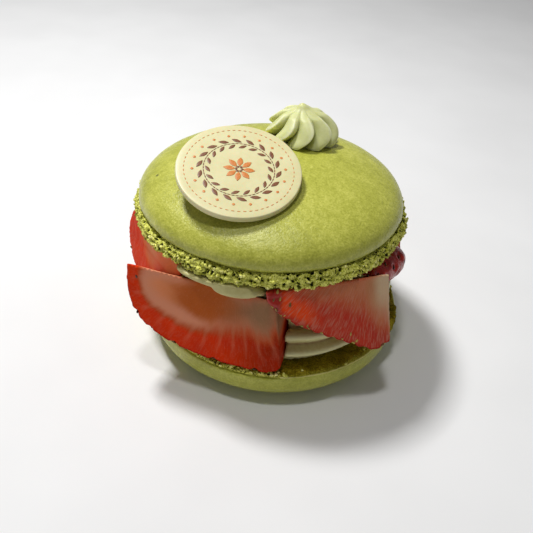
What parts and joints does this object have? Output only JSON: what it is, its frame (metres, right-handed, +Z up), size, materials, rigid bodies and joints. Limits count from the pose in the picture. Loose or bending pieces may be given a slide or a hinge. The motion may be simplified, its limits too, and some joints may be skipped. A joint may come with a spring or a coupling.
{
  "type": "french macaron",
  "caption": "Large round macaron: two pistachio shells with ruffled feet hold cream and strawberry wedges, with a tilted chocolate disc and a piped cream rosette on top.",
  "frame": {"origin": "on the ground under the centre of the bottom shell, in the middle of the flat spot that the macaron stands on", "axes": "+Z up, -Y towards the side with the two large strawberry wedges and the lowered edge of the chocolate disc, +X to the right seen from there"},
  "size_m": [0.0785, 0.0754, 0.0622],
  "materials": {
    "shell": "satin pistachio macaron crust, crumbly foot",
    "shell_flat_side": "pistachio macaron crust, browned flat side",
    "strawberry": "wet cut strawberry, red at the skin and pale at the core",
    "cream": "smooth piped cream",
    "rosette": "smooth piped pistachio cream",
    "white_chocolate": "smooth satin white chocolate with a printed ornament"
  },
  "bodies": {
    "root": {"shell_bottom": "shell_flat_side", "shell_top": "shell", "cream_filling": "cream", "strawberry_front_left": "strawberry", "strawberry_front_right": "strawberry", "strawberry_left": "strawberry", "strawberry_right": "strawberry", "strawberry_back_left": "strawberry", "strawberry_back": "strawberry", "strawberry_back_right": "strawberry", "chocolate_disc": "white_chocolate", "cream_dab": "cream", "cream_rosette": "rosette"}
  },
  "joints": []
}
